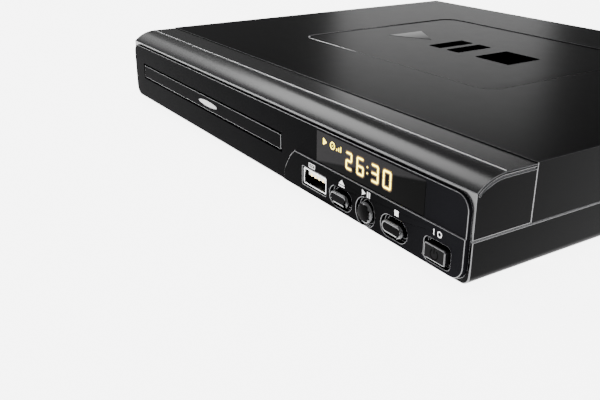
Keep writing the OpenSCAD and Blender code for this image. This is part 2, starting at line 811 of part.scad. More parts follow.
module pulley_gear() color(white_plastic) at_front() translate([pulley_x, gear_y, 0]) {
    grooved_pulley(pulley_r, post_r + run_gap);
    difference() {
        translate([0, 0, low_gear_z]) linear_extrude(pulley_z - low_gear_z - 0.2)
            rotate(180 / pinion_teeth) gear_outline(pinion_teeth);
        column(post_r + run_gap, 0, pulley_z + 1);
    }
    difference() {
        column(3, low_gear_z, pulley_z + 0.1);
        column(post_r + run_gap, 0, pulley_z + 1);
    }
}

module drive_gear() color(white_plastic) at_front() translate([gear_x, gear_y, 0]) difference() {
    union() {
        translate([0, 0, low_gear_z]) linear_extrude(gear_t) gear_outline(gear_teeth);
        column(2.8, low_gear_z, rack_gear_z + 0.1);
        translate([0, 0, rack_gear_z]) linear_extrude(gear_t) gear_outline(pinion_teeth);
    }
    column(post_r + run_gap, 0, rack_gear_z + 9);
}

// Outline of the belt's path, drawn out by a distance
module belt_path(grow) {
    a = motor_pulley_r + grow;
    b = pulley_r + grow;
    hull() {
        circle(a);
        translate([pulley_x - motor_x, 0]) circle(b);
    }
}

module drive_belt() color([0.02, 0.02, 0.02]) at_front()
    translate([motor_x, gear_y, pulley_z + pulley_t / 2 - belt_r / 2]) linear_extrude(belt_r) difference() {
        belt_path(run_gap);
        belt_path(run_gap - belt_r);
    }

module loader_ribbon() color(white_plastic) at_front() {
    y = main_y0 + 20;
    z = floor_z + 0.1;
    block([tray_x + 8, y, z], [main_x0 + 3, y + 12, z + 0.3]);
    block([main_x0 + 2.7, y, z], [main_x0 + 3, y + 12, board_z]);
}

// Disc tray: floor with the disc's pockets, side rails, and the rack beneath
module disc_tray() color([0.09, 0.09, 0.1]) at_front() {
    x0 = tray_x - tray_w / 2;
    x1 = tray_x + tray_w / 2;
    difference() {
        block([x0, tray_y, tray_z], [x1, tray_end, tray_top]);
        block([x0 + 4.3, tray_y + 6, tray_z - 1], [x1 - 4.3, tray_end + 1, hollow_z]);
        translate([tray_x, disc_y, 0]) {
            column(pocket_r, pocket_z, tray_top + 1);
            column(disc_d / 3 + 0.75, pocket_z - 0.5, tray_top + 1);
            column(hub_r, tray_z, tray_top);
        }
        block([tray_x - hub_r, disc_y, tray_z], [tray_x + hub_r, slot_back, tray_top]);
        block([tray_x - hub_r, disc_y, pocket_z], [tray_x + hub_r, tray_end + 1, tray_top + 1]);
        for (s = [-1, 1]) translate([tray_x + s * disc_d * 0.36, disc_y - disc_d * 0.4, 0])
            column(9, pocket_z, tray_top + 1);
    }
    block([gear_x + pinion_pr + 1.15, tray_y + 5, tray_z + 0.3],
        [gear_x + pinion_pr + 4, tray_end, hollow_z + 0.1]);
    translate([gear_x + pinion_pr, gear_y, tray_z + 0.3]) linear_extrude(hollow_z - tray_z - 0.2)
        rack_outline(-3, floor((tray_end - gear_y) / (PI * module_mm)) - 1);
}

module tray_door() color(dark) at_front() {
    along_y(panel_y, panel_y + door_t) translate([tray_x, slot_z]) square([door_w, door_h], center = true);
}

// Cam slider: its slanted slot lifts the deck's front pin
module cam_slider() color(white_plastic) at_front() {
    low = hinge_z - cam_lift;
    half = cam_pin_r + 0.3;
    run = cam_travel;
    angle = atan2(cam_lift, run);
    difference() {
        block([cam_pin_x - run - 8, cam_y - 1.2, floor_z + 0.4],
            [cam_pin_x + 8, cam_y + 1.3, hollow_z - 0.35]);
        rod_y(half, cam_pin_x, low, cam_y - 3, cam_y + 3);
        rod_y(half, cam_pin_x - run, hinge_z, cam_y - 3, cam_y + 3);
        translate([cam_pin_x, cam_y, low]) rotate([0, 180 + angle, 0])
            translate([0, -3, -half]) cube([norm([run, cam_lift]), 6, 2 * half]);
    }
    block([cam_pin_x - run - 8, cam_y - 4.6, plate_top + 0.2], [cam_pin_x + 8, cam_y - 1.1, plate_top + 1.4]);
}

// Draws a piece of the lowered deck from its level place
module lowered() {
    translate([0, hinge_y, hinge_z]) rotate([deck_drop, 0, 0]) translate([0, -hinge_y, -hinge_z]) children();
}

module traverse_deck() color(steel) at_front() lowered() {
    x0 = tray_x - deck_w / 2;
    x1 = tray_x + deck_w / 2;
    difference() {
        block([x0, deck_y0, deck_z], [x1, hinge_y + 2, deck_z + deck_t]);
        translate([tray_x, disc_y, 0]) column(11.2, deck_z - 1, deck_z + 9);
        block([tray_x - 19, disc_y + 13, deck_z - 1], [tray_x + 19, disc_y + 70, deck_z + 9]);
        block([tray_x + 25.5, hinge_y - 13, deck_z - 1], [x1 + 1, hinge_y - 2, deck_z + 9]);
    }
    for (s = [-1, 1]) {
        clip(tray_x + s * rod_x, rod_r, disc_y + 10);
        clip(tray_x + s * rod_x, rod_r, disc_y + 70.6);
        a = tray_x + s * (deck_w / 2 - 1);
        b = tray_x + s * (deck_w / 2 + 5);
        rod_x(rod_r, hinge_y, hinge_z, min(a, b), max(a, b));
    }
    clip(tray_x + 31, 1.4, disc_y + 15);
    rod_y(cam_pin_r, cam_pin_x, hinge_z, cam_y - 0.9, deck_y0 + 3);
}

// A clip under the deck that holds a rod's end
module clip(x, r, y) {
    difference() {
        block([x - 2.6, y, rod_z - 2], [x + 2.6, y + 3.4, deck_z + 0.1]);
        rod_y(r + run_gap, x, rod_z, y - 1, y + 5);
    }
}

module guide_rods() color(steel) at_front() lowered() {
    for (s = [-1, 1]) rod_y(rod_r, tray_x + s * rod_x, rod_z, disc_y + 10, disc_y + 74);
}

module spindle_motor() color(steel) at_front() lowered() translate([tray_x, disc_y, 0]) {
    column(11, seat_z - 6.9, seat_z - 2);
    column(13, deck_z - 0.8, deck_z);
    column(1, seat_z - 2.1, seat_z + cone_h - 0.2);
}

module turntable() color(black) at_front() lowered() translate([tray_x, disc_y, 0]) difference() {
    union() {
        column(turntable_r, seat_z - 1.8, seat_z);
        translate([0, 0, seat_z - 0.1]) cylinder(r1 = cone_r, r2 = cone_r - 0.4, h = cone_h + 0.1);
    }
    column(1 + run_gap, seat_z - 3, seat_z + 1.2);
}

module feed_motor() color(steel) at_front() lowered() {
    rod_y(4.4, tray_x + 31, rod_z, hinge_y - 11, hinge_y - 3);
    x0 = tray_x + rod_x + 3.4;
    x1 = tray_x + 36;
    block([x0, hinge_y - 11.8, rod_z - 3.4], [x1, hinge_y - 11, deck_z]);
    block([x0, hinge_y - 14.6, deck_z - 0.3], [x1, hinge_y - 11, deck_z]);
}

module feed_screw() color(brass_colour) at_front() lowered() {
    rod_y(1.4, tray_x + 31, rod_z, disc_y + 15, hinge_y - 12.1);
}

module pickup_sled() color([0.25, 0.25, 0.27]) at_front() lowered() {
    y0 = disc_y + lens_min - 9.5;
    difference() {
        union() {
            block([tray_x - rod_x - 3, y0, rod_z - 1.9], [tray_x + rod_x + 3, y0 + 18, deck_z - 0.3]);
            block([tray_x - 17, y0, rod_z], [tray_x + 17, y0 + 18, deck_z + 1.9]);
            block([tray_x + rod_x + 2.2, y0 + 5, rod_z - 1.7], [tray_x + 34, y0 + 14.6, deck_z - 0.5]);
        }
        for (s = [-1, 1]) rod_y(rod_r + run_gap, tray_x + s * rod_x, rod_z, y0 - 1, y0 + 20);
        rod_y(1.4 + 2 * run_gap, tray_x + 31, rod_z, y0 - 1, y0 + 20);
    }
}

module pickup_lens() color([0.5, 0.6, 0.8]) at_front() lowered() {
    translate([tray_x, disc_y + lens_min, 0]) column(2.4, deck_z + 1.9, deck_z + 2.7);
}

// Bridge over the tray that carries the clamp
module clamp_bridge() color(steel) at_front() {
    difference() {
        block([tray_x - loader_x, disc_y - 18, bridge_z],
            [tray_x + loader_x, disc_y + 18, bridge_z + bridge_t]);
        translate([tray_x, disc_y, 0]) column(11, bridge_z - 1, bridge_z + 9);
    }
    for (s = [-1, 1]) {
        a = tray_x + s * loader_x;
        b = tray_x + s * rail_x;
        block([min(a, b), disc_y - 18, tray_top + 1.6], [max(a, b), disc_y + 18, bridge_z + 0.1]);
    }
}

module clamp_puck() color(white_plastic) at_front() translate([tray_x, disc_y, 0]) difference() {
    union() {
        column(15, clamp_z, clamp_z + 1.8);
        column(9, clamp_z + 1.7, bridge_z + bridge_t + 1);
        column(13, bridge_z + bridge_t + slide_gap, bridge_z + bridge_t + 1.5);
    }
    column(cone_r + 1, clamp_z - 1, clamp_z + 1.3);
    column(6, bridge_z - 0.6, bridge_z + 9);
}

module clamp_magnet() color(steel) at_front() translate([tray_x, disc_y, 0])
    column(5.9, bridge_z - 0.6, bridge_z + bridge_t + 1);

bottom_case();
top_cover();
front_bezel();
front_panel();
control_panel();
display_window();
rear_panel();
foot(0);  // foot_front_left
foot(1);  // foot_front_right
foot(2);  // foot_rear_left
foot(3);  // foot_rear_right
cover_screws();
inner_screws();
main_board();
main_chip();
heat_sink();
board_capacitors();
power_board();
transformer();
front_board();
display_module();
key_switches();
power_switch();
remote_receiver();
usb_shell();
usb_tongue();
hdmi_socket();
phono_jack(0, [0.85, 0.7, 0.1]);  // video_jack
phono_jack(1, white_plastic);  // left_audio_jack
phono_jack(2, [0.75, 0.08, 0.08]);  // right_audio_jack
mains_inlet();
inlet_pins();
button(0, switch_y - 0.8);  // open_button
button(1, switch_y - 0.8);  // play_button
button(2, switch_y - 0.8);  // stop_button
power_button();
plunger(0);  // open_plunger
plunger(1);  // play_plunger
plunger(2);  // stop_plunger
loader_frame();
loading_motor();
drive_belt();
loader_ribbon();
clamp_bridge();
disc_tray();
tray_door();
motor_pulley();
pulley_gear();
drive_gear();
cam_slider();
traverse_deck();
spindle_motor();
guide_rods();
feed_motor();
turntable();
feed_screw();
pickup_sled();
pickup_lens();
clamp_puck();
clamp_magnet();
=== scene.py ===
import json
import math
import bmesh
import bpy
from mathutils import Matrix, Vector


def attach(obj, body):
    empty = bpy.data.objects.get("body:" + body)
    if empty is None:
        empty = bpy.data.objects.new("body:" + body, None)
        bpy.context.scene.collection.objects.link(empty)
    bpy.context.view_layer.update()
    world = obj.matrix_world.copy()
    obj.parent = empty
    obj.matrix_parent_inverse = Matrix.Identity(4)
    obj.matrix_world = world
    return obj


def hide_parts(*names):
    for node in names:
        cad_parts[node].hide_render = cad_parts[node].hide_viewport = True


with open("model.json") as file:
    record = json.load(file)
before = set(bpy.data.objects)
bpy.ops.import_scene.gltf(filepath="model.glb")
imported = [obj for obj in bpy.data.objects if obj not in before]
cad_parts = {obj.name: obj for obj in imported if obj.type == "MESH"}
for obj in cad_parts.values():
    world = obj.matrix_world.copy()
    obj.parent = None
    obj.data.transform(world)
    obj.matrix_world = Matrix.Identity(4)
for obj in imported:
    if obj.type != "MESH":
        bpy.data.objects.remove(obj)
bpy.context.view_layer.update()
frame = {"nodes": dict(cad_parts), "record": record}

nodes = frame["nodes"]
bodyOf = {n: b for b, members in frame["record"]["behaviour"]["bodies"].items() for n in members}
slotOf = {row["node"]: row["material_slot"] for row in frame["record"]["subparts"]}
faceY = -102.75  # the moulding's face in the model; y is counted back from it, in millimetres
print("frame loaded:", len(nodes), "nodes")


def place(x, y, z):
    return Vector((x, y + faceY, z)) * 0.001


# view and light
cameraSetup = {
    "at": (246.88, -133.93, 104.18), "tilt": 67.119, "turn": 57.686,
    "lens": 45.363, "sensor": 36.0, "nearest": 0.005,
}
cameraData = bpy.data.cameras.new("photoCamera")
cameraData.sensor_width = cameraSetup["sensor"]
cameraData.lens = cameraSetup["lens"]
cameraData.clip_start = cameraSetup["nearest"]
camera = bpy.data.objects.new("photoCamera", cameraData)
camera.location = place(*cameraSetup["at"])
camera.rotation_euler = (math.radians(cameraSetup["tilt"]), 0, math.radians(cameraSetup["turn"]))
bpy.context.collection.objects.link(camera)
bpy.context.scene.camera = camera

studio = {
    "background": (1.0, 1.0, 1.0), "backgroundPower": 0.13, "lightColour": (1.0, 1.0, 1.0),
    "floorHalf": 20.0, "floorColour": (1.0, 1.0, 1.0), "floorLift": 6.0,
    "floorGrain": 40, "floorRough": (0.62, 0.66), "floorSpecular": 0.15,
    "lights": [
        # name, one end of its long side, the other end, what it faces, width, power (metres and watts)
        ("noseStripLow", (-1.0, -0.06, 0.33), (-1.0, -0.06, 0.66), (0.0, -0.10, 0.03), 0.30, 0.34),
        ("noseStripHigh", (-1.0, 0.02, 0.62), (-1.0, 0.08, 1.50), (0.0, -0.10, 0.03), 0.50, 6.4),
        ("edgeStrip", (-1.0, -0.60, 0.33), (-1.0, -1.05, 1.05), (0.0, -0.10, 0.03), 0.16, 7.0),
        ("overheadBox", (0.30, -1.05, 1.6), (0.30, 0.35, 1.6), (0.30, -0.35, 0.0), 1.4, 12.5),
        ("backBox", (-1.0, 0.92, 0.16), (-1.0, 0.92, 0.42), (0.02, 0.06, 0.035), 0.46, 0.75),
    ],
}


def addLight(name, low, high, aim, width, power):
    low, high, aim = Vector(low), Vector(high), Vector(aim)
    middle, along = (low + high) / 2, (high - low).normalized()
    facing = middle - aim
    facing = (facing - along * facing.dot(along)).normalized()
    data = bpy.data.lights.new(name, "AREA")
    data.shape = "RECTANGLE"
    data.size = width
    data.size_y = (high - low).length
    data.energy = power
    data.color = studio["lightColour"]
    light = bpy.data.objects.new(name, data)
    turned = Matrix((along.cross(facing), along, facing)).transposed().to_4x4()
    light.matrix_world = Matrix.Translation(middle) @ turned
    bpy.context.collection.objects.link(light)


for row in studio["lights"]:
    addLight(*row)
world = bpy.data.worlds.new("studioWorld")
world.use_nodes = True
backdrop = world.node_tree.nodes["Background"]
backdrop.inputs["Color"].default_value = (*studio["background"], 1)
backdrop.inputs["Strength"].default_value = studio["backgroundPower"]
bpy.context.scene.world = world
print("view and light set")


# material helpers
noiseReach = (0.3, 0.7)  # most of the noise's values lie between these


def startMaterial(name):
    material = bpy.data.materials.new(name)
    material.use_nodes = True
    return material, material.node_tree, material.node_tree.nodes["Principled BSDF"]


def noiseAt(tree, size, detail=2.0, stretch=(1, 1, 1)):
    # noise whose grains measure about size, in millimetres, read on the piece's own coordinates
    spot = tree.nodes.new("ShaderNodeTexCoord")
    turn = tree.nodes.new("ShaderNodeMapping")
    turn.inputs["Scale"].default_value = stretch
    noise = tree.nodes.new("ShaderNodeTexNoise")
    noise.inputs["Scale"].default_value = 1000 / size
    noise.inputs["Detail"].default_value = detail
    tree.links.new(spot.outputs["Object"], turn.inputs["Vector"])
    tree.links.new(turn.outputs["Vector"], noise.inputs["Vector"])
    return noise.outputs["Fac"]


def spread(tree, source, low, high):
    span = tree.nodes.new("ShaderNodeMapRange")
    span.inputs["From Min"].default_value = noiseReach[0]
    span.inputs["From Max"].default_value = noiseReach[1]
    span.inputs["To Min"].default_value = low
    span.inputs["To Max"].default_value = high
    tree.links.new(source, span.inputs["Value"])
    return span.outputs["Result"]


def blendColours(tree, source, first, second):
    mix = tree.nodes.new("ShaderNodeMix")
    mix.data_type = "RGBA"
    mix.inputs["A"].default_value = (*first, 1)
    mix.inputs["B"].default_value = (*second, 1)
    tree.links.new(source, mix.inputs["Factor"])
    return mix.outputs["Result"]


def fadeAlong(tree, span, axis, slant=None):
    # goes from 0 to 1 between two places on an axis, in millimetres; slant adds a share of another axis
    spot = tree.nodes.new("ShaderNodeTexCoord")
    parts = tree.nodes.new("ShaderNodeSeparateXYZ")
    tree.links.new(spot.outputs["Object"], parts.inputs["Vector"])
    reading = parts.outputs[axis]
    if slant:
        other, share = slant
        leaning = tree.nodes.new("ShaderNodeMath")
        leaning.operation = "MULTIPLY_ADD"
        leaning.inputs[1].default_value = share
        tree.links.new(parts.outputs[other], leaning.inputs[0])
        tree.links.new(reading, leaning.inputs[2])
        reading = leaning.outputs["Value"]
    fade = tree.nodes.new("ShaderNodeMapRange")
    fade.inputs["From Min"].default_value = span[0] * 0.001
    fade.inputs["From Max"].default_value = span[1] * 0.001
    tree.links.new(reading, fade.inputs["Value"])
    return fade.outputs["Result"]


def fadedTo(tree, tinted, far, axis, span):
    blended = blendColours(tree, fadeAlong(tree, span, axis), far, far)
    tree.links.new(tinted, blended.node.inputs["A"])
    return blended


def addBump(tree, shader, source, depth, strength):
    bump = tree.nodes.new("ShaderNodeBump")
    bump.inputs["Distance"].default_value = depth * 0.001
    bump.inputs["Strength"].default_value = strength
    tree.links.new(source, bump.inputs["Height"])
    tree.links.new(bump.outputs["Normal"], shader.inputs["Normal"])


moulded = {
    "cloud": 28, "patch": 6, "patchReach": (0.98, 1.02), "wearGain": 0.02, "coatRough": 0.08,
}


def plastic(name, colour, rough, grain=0.35, depth=0.01, strength=0.25, vary=0.12,
            coat=0.0, specular=0.5, wear=0.04, rightEnd=None):
    material, tree, shader = startMaterial(name)
    mottleAndSheen = noiseAt(tree, moulded["cloud"], 3)
    lighter = [c * (1 + vary) + wear * moulded["wearGain"] for c in colour]
    tinted = blendColours(tree, spread(tree, mottleAndSheen, 0, 1), colour, lighter)
    # painted reflection: the colour grows lighter towards the right end
    if rightEnd:
        tinted = fadedTo(tree, tinted, [c * rightEnd["gain"] for c in colour], "X", rightEnd["span"])
    tree.links.new(tinted, shader.inputs["Base Color"])
    patchReach = [rough * share for share in moulded["patchReach"]]
    patchy = spread(tree, noiseAt(tree, moulded["patch"], 4), *patchReach)
    tree.links.new(patchy, shader.inputs["Roughness"])
    addBump(tree, shader, noiseAt(tree, grain, 2), depth, strength)
    shader.inputs["Coat Weight"].default_value = coat
    shader.inputs["Coat Roughness"].default_value = moulded["coatRough"]
    shader.inputs["Specular IOR Level"].default_value = specular
    return material


plated = {"cloud": 9, "darker": 0.86, "roughReach": (0.8, 1.25), "bump": 0.3, "unlit": (0.012, 0.012, 0.013)}


def metal(name, colour, rough, stretch=(1, 1, 1), grain=0.3, depth=0.006, paintedShadeSpan=None):
    # its last argument spans where the metal is painted dark going into a socket: painted shade inside the
    # opening
    material, tree, shader = startMaterial(name)
    shader.inputs["Metallic"].default_value = 1.0
    brushed = noiseAt(tree, grain, 3, stretch)
    darker = [c * plated["darker"] for c in colour]
    tinted = blendColours(tree, spread(tree, noiseAt(tree, plated["cloud"], 4), 0, 1), colour, darker)
    if paintedShadeSpan:
        tinted = fadedTo(tree, tinted, plated["unlit"], "Y", paintedShadeSpan)
    tree.links.new(tinted, shader.inputs["Base Color"])
    streaks = spread(tree, brushed, *(rough * share for share in plated["roughReach"]))
    tree.links.new(streaks, shader.inputs["Roughness"])
    addBump(tree, shader, brushed, depth, plated["bump"])
    return material


board = {"cells": 320, "track": (0.03, 0.08), "patch": 5, "rough": (0.28, 0.4), "etch": -0.03, "bump": 0.4}


def circuitBoard(name, lacquer, copper):
    # lacquered board: tracks show as paler lines between dark cells
    material, tree, shader = startMaterial(name)
    spot = tree.nodes.new("ShaderNodeTexCoord")
    cells = tree.nodes.new("ShaderNodeTexVoronoi")
    cells.feature = "DISTANCE_TO_EDGE"
    cells.inputs["Scale"].default_value = board["cells"]
    tree.links.new(spot.outputs["Object"], cells.inputs["Vector"])
    tracks = tree.nodes.new("ShaderNodeMapRange")
    tracks.inputs["From Min"].default_value = board["track"][0]
    tracks.inputs["From Max"].default_value = board["track"][1]
    tree.links.new(cells.outputs["Distance"], tracks.inputs["Value"])
    coloured = blendColours(tree, tracks.outputs["Result"], copper, lacquer)
    tree.links.new(coloured, shader.inputs["Base Color"])
    patchy = spread(tree, noiseAt(tree, board["patch"], 3), *board["rough"])
    tree.links.new(patchy, shader.inputs["Roughness"])
    addBump(tree, shader, tracks.outputs["Result"], board["etch"], board["bump"])
    return material


pane = {
    # the upper tone is a painted reflection; the clear tone is the pane's own dark tint
    "mottleAndSheen": (0.0125, 0.012, 0.0125), "clear": (0.0006, 0.0006, 0.0006),
    "reflectionEdgeAt": (47.0, 17.5), "rise": 0.193, "blur": 0.35,
    "rough": 0.12, "specular": 0.008, "ripple": 6,
}


def smokedWindow(name):
    # tinted pane: a painted reflection lightens its upper part down to a slanting edge, and the rest is clear
    # and dark
    material, tree, shader = startMaterial(name)
    level = pane["reflectionEdgeAt"][1] - pane["rise"] * pane["reflectionEdgeAt"][0]
    edge = fadeAlong(tree, (level - pane["blur"], level + pane["blur"]), "Z", ("X", -pane["rise"]))
    tree.links.new(blendColours(tree, edge, pane["clear"], pane["mottleAndSheen"]), shader.inputs["Base Color"])
    shader.inputs["Roughness"].default_value = pane["rough"]
    shader.inputs["Specular IOR Level"].default_value = pane["specular"]
    addBump(tree, shader, noiseAt(tree, pane["ripple"], 1), 0.001, 0.1)
    return material


def paintedSheenFade(name, near, far, span, slant=None, metallic=0.0, specular=0.0):
    # a painted sheen: a tone that fades along x between two places
    material, tree, shader = startMaterial(name)
    faded = blendColours(tree, fadeAlong(tree, span, "X", slant), near, far)
    tree.links.new(faded, shader.inputs["Base Color"])
    shader.inputs["Metallic"].default_value = metallic
    shader.inputs["Roughness"].default_value = 0.25
    shader.inputs["Specular IOR Level"].default_value = specular
    return material


lamp = {"deeper": 0.9, "cloud": 1.5, "unlit": (0.01, 0.008, 0.006), "specular": 0.1}


def glowing(name, colour, power):
    material, tree, shader = startMaterial(name)
    deeper = [c * lamp["deeper"] for c in colour]
    mottleAndSheen = spread(tree, noiseAt(tree, lamp["cloud"], 2), 0, 1)
    tree.links.new(blendColours(tree, mottleAndSheen, colour, deeper), shader.inputs["Emission Color"])
    shader.inputs["Emission Strength"].default_value = power
    shader.inputs["Base Color"].default_value = (*lamp["unlit"], 1)
    shader.inputs["Specular IOR Level"].default_value = lamp["specular"]
    return material


finishes = {
    "shell": plastic("satinShell", (0.0006, 0.0006, 0.0007), 0.30, 0.3, 0.006, 0.2,
                     specular=0.015, wear=0.0),
    "nose": plastic("polishedNose", (0.0055, 0.0055, 0.006), 0.25, 0.5, 0.001, 0.05, specular=0.6),
    # the panel's right end is painted lighter as a painted reflection
    "panel": plastic("grainedPanel", (0.0010, 0.0010, 0.0012), 0.5, 0.28, 0.012, 0.3,
                     specular=0.004, wear=0.0, rightEnd={"span": (80.0, 112.0), "gain": 4.0}),
    "smoked_window": smokedWindow("smokedWindow"),
    "button": plastic("buttonGloss", (0.0008, 0.0008, 0.0009), 0.22, 0.6, 0.002, 0.1,
                      specular=0.006, wear=0.0),
    "rubber": plastic("footRubber", (0.015, 0.015, 0.015), 0.75, 0.4, 0.03, 0.5, specular=0.3),
    "screw": metal("zincScrew", (0.62, 0.62, 0.60), 0.32),
    "plated_steel": metal("platedSteel", (0.70, 0.71, 0.72), 0.26, (1, 14, 1)),
    "circuit_board": circuitBoard("greenBoard", (0.008, 0.09, 0.035), (0.02, 0.18, 0.06)),
    "power_board": circuitBoard("brownBoard", (0.30, 0.17, 0.06), (0.36, 0.24, 0.10)),
    "chip": plastic("chipPackage", (0.012, 0.012, 0.013), 0.55, 0.25, 0.01, 0.5),
    "aluminium": metal("extrudedAluminium", (0.78, 0.79, 0.80), 0.34, (1, 20, 1)),
    "capacitor": plastic("capacitorSleeve", (0.012, 0.02, 0.10), 0.3, 2.0, 0.01, 0.2),
    "transformer": plastic("coilTape", (0.60, 0.44, 0.05), 0.4, 1.2, 0.04, 0.4),
    "display": plastic("displayBody", (0.02, 0.02, 0.022), 0.3, 1.0, 0.004, 0.2),
    "white_plastic": plastic("whitePlastic", (0.72, 0.72, 0.69), 0.42, 0.8, 0.01, 0.25),
    "jack_yellow": plastic("jackYellow", (0.80, 0.55, 0.02), 0.3, 0.8, 0.005, 0.2),
    "jack_white": plastic("jackWhite", (0.78, 0.78, 0.76), 0.3, 0.8, 0.005, 0.2),
    "jack_red": plastic("jackRed", (0.55, 0.015, 0.015), 0.3, 0.8, 0.005, 0.2),
    "frame_plastic": plastic("loaderPlastic", (0.035, 0.035, 0.037), 0.5, 0.5, 0.015, 0.4),
    "tray_plastic": plastic("trayPlastic", (0.016, 0.016, 0.017), 0.44, 0.4, 0.015, 0.35),
    "brass": metal("turnedBrass", (0.80, 0.58, 0.25), 0.25, (1, 1, 16)),
    "lens": plastic("lensGlass", (0.10, 0.16, 0.30), 0.05, 3.0, 0.0005, 0.05, coat=1.0),
    "rear_sheet": plastic("rearPaint", (0.0016, 0.0016, 0.0017), 0.42, 0.25, 0.02, 0.45,
                          specular=0.02, wear=0.0),
}
ownFinish = {
    # the socket shell is painted dark going into its opening: painted shade
    "usb_shell": metal("socketShell", (0.70, 0.71, 0.72), 0.26, (1, 14, 1), paintedShadeSpan=(-103.7, -103.15)),
    "power_button": plastic("powerGloss", (0.0032, 0.0032, 0.0034), 0.3, 0.6, 0.002, 0.1,
                            specular=0.01, wear=0.0),
    # the cover's top is a lighter copy of the shell's black: painted light on the top
    "top_cover": plastic("satinCover", (0.0046, 0.0046, 0.0050), 0.30, 0.3, 0.006, 0.2,
                         specular=0.03, wear=0.0),
}
for name, node in nodes.items():
    node.data.materials.clear()
    node.data.materials.append(ownFinish.get(name, finishes[slotOf[name]]))
print("materials made:", len(finishes))

floorMesh = bpy.data.meshes.new("studioFloor")
half = studio["floorHalf"]
floorCorners = [(-half, -half, 0), (half, -half, 0), (half, half, 0), (-half, half, 0)]
floorMesh.from_pydata(floorCorners, [], [(0, 1, 2, 3)])
floor = bpy.data.objects.new("studioFloor", floorMesh)
paleFloor, floorTree, floorShader = startMaterial("paleFloor")
floorGrain = spread(floorTree, noiseAt(floorTree, studio["floorGrain"], 2), *studio["floorRough"])
floorTree.links.new(floorGrain, floorShader.inputs["Roughness"])
floorShader.inputs["Base Color"].default_value = (*studio["floorColour"], 1)
floorShader.inputs["Emission Color"].default_value = (1, 1, 1, 1)
floorShader.inputs["Emission Strength"].default_value = studio["floorLift"]
floorShader.inputs["Specular IOR Level"].default_value = studio["floorSpecular"]
floorMesh.materials.append(paleFloor)
bpy.context.collection.objects.link(floor)


# mesh helpers
smoothUnder = math.radians(38)  # faces that meet at less are shaded as one


def addPiece(name, mesh, material, body, slot, *replaced):
    piece = bpy.data.objects.new(name, mesh)
    bpy.context.collection.objects.link(piece)
    if not mesh.materials:
        mesh.materials.append(material)
    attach(piece, body)
    if replaced:
        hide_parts(*replaced)
    return piece


def finishedMesh(bm, name, bevel=0.0, segments=2, angle=32, faceFinish=None, edgeHighlight=None):
    # bevels the sharp edges of a bmesh, given in metres, and returns the plain result
    mesh = bpy.data.meshes.new(name)
    bm.to_mesh(mesh)
    bm.free()
    if faceFinish:
        mesh.materials.append(faceFinish)
    if edgeHighlight:
        mesh.materials.append(edgeHighlight)
    holder = bpy.data.objects.new(name + "Holder", mesh)
    bpy.context.collection.objects.link(holder)
    if bevel > 0:
        rounding = holder.modifiers.new("edges", "BEVEL")
        rounding.width = bevel * 0.001
        rounding.segments = segments
        rounding.limit_method = "ANGLE"
        rounding.angle_limit = math.radians(angle)
        rounding.use_clamp_overlap = False
        rounding.miter_outer = "MITER_ARC"
        rounding.harden_normals = False
        # the bevel faces take the painted edge highlight when one is given
        rounding.material = 1 if edgeHighlight else -1
    evaluated = holder.evaluated_get(bpy.context.evaluated_depsgraph_get())
    result = bpy.data.meshes.new_from_object(evaluated)
    result.name = name
    bpy.data.objects.remove(holder)
    bpy.data.meshes.remove(mesh)
    result.shade_smooth()
    result.set_sharp_from_angle(angle=smoothUnder)
    # large flat faces keep their own normals next to narrow bevels
    holder = bpy.data.objects.new(name + "Holder", result)
    bpy.context.collection.objects.link(holder)
    weighting = holder.modifiers.new("flats", "WEIGHTED_NORMAL")
    weighting.weight = 100
    weighting.keep_sharp = True
    evaluated = holder.evaluated_get(bpy.context.evaluated_depsgraph_get())
    finished = bpy.data.meshes.new_from_object(evaluated)
    bpy.data.objects.remove(holder)
    bpy.data.meshes.remove(result)
    finished.name = name
    return finished


weld = {"seam": 2e-6, "points": 3e-6}  # metres


def merged(*members, seam=None):
    # a welded copy of the CAD nodes' loose triangles, without the faces where two of them meet at x = seam
    bm = bmesh.new()
    for node in members:
        bm.from_mesh(nodes[node].data)
    if seam is not None:
        inside = [f for f in bm.faces if all(abs(v.co.x - seam * 0.001) < weld["seam"] for v in f.verts)]
        bmesh.ops.delete(bm, geom=inside, context="FACES")
    bmesh.ops.remove_doubles(bm, verts=bm.verts, dist=weld["points"])
    return bm


# nodes whose bevels take a painted highlight
edgeHighlightOf = {
    "front_bezel": "edgeBright", "tray_door": "edgeBright", "top_cover": "edgeBright",
    "bottom_case": "edgeBright", "open_button": "edgeBright", "play_button": "edgeBright",
    "stop_button": "edgeBright", "power_button": "edgeBright", "disc_tray": "edgeSoft",
}
# which faces take a painted highlight, and which take the shell's darker tone as painted shade, by the
# direction that they face and by place (metres)
faceLimits = {
    "capRight": 0.22, "capFront": -0.25, "gleamFront": -0.2, "gleamY": -0.0915, "upright": 0.3, "end": 0.9,
}


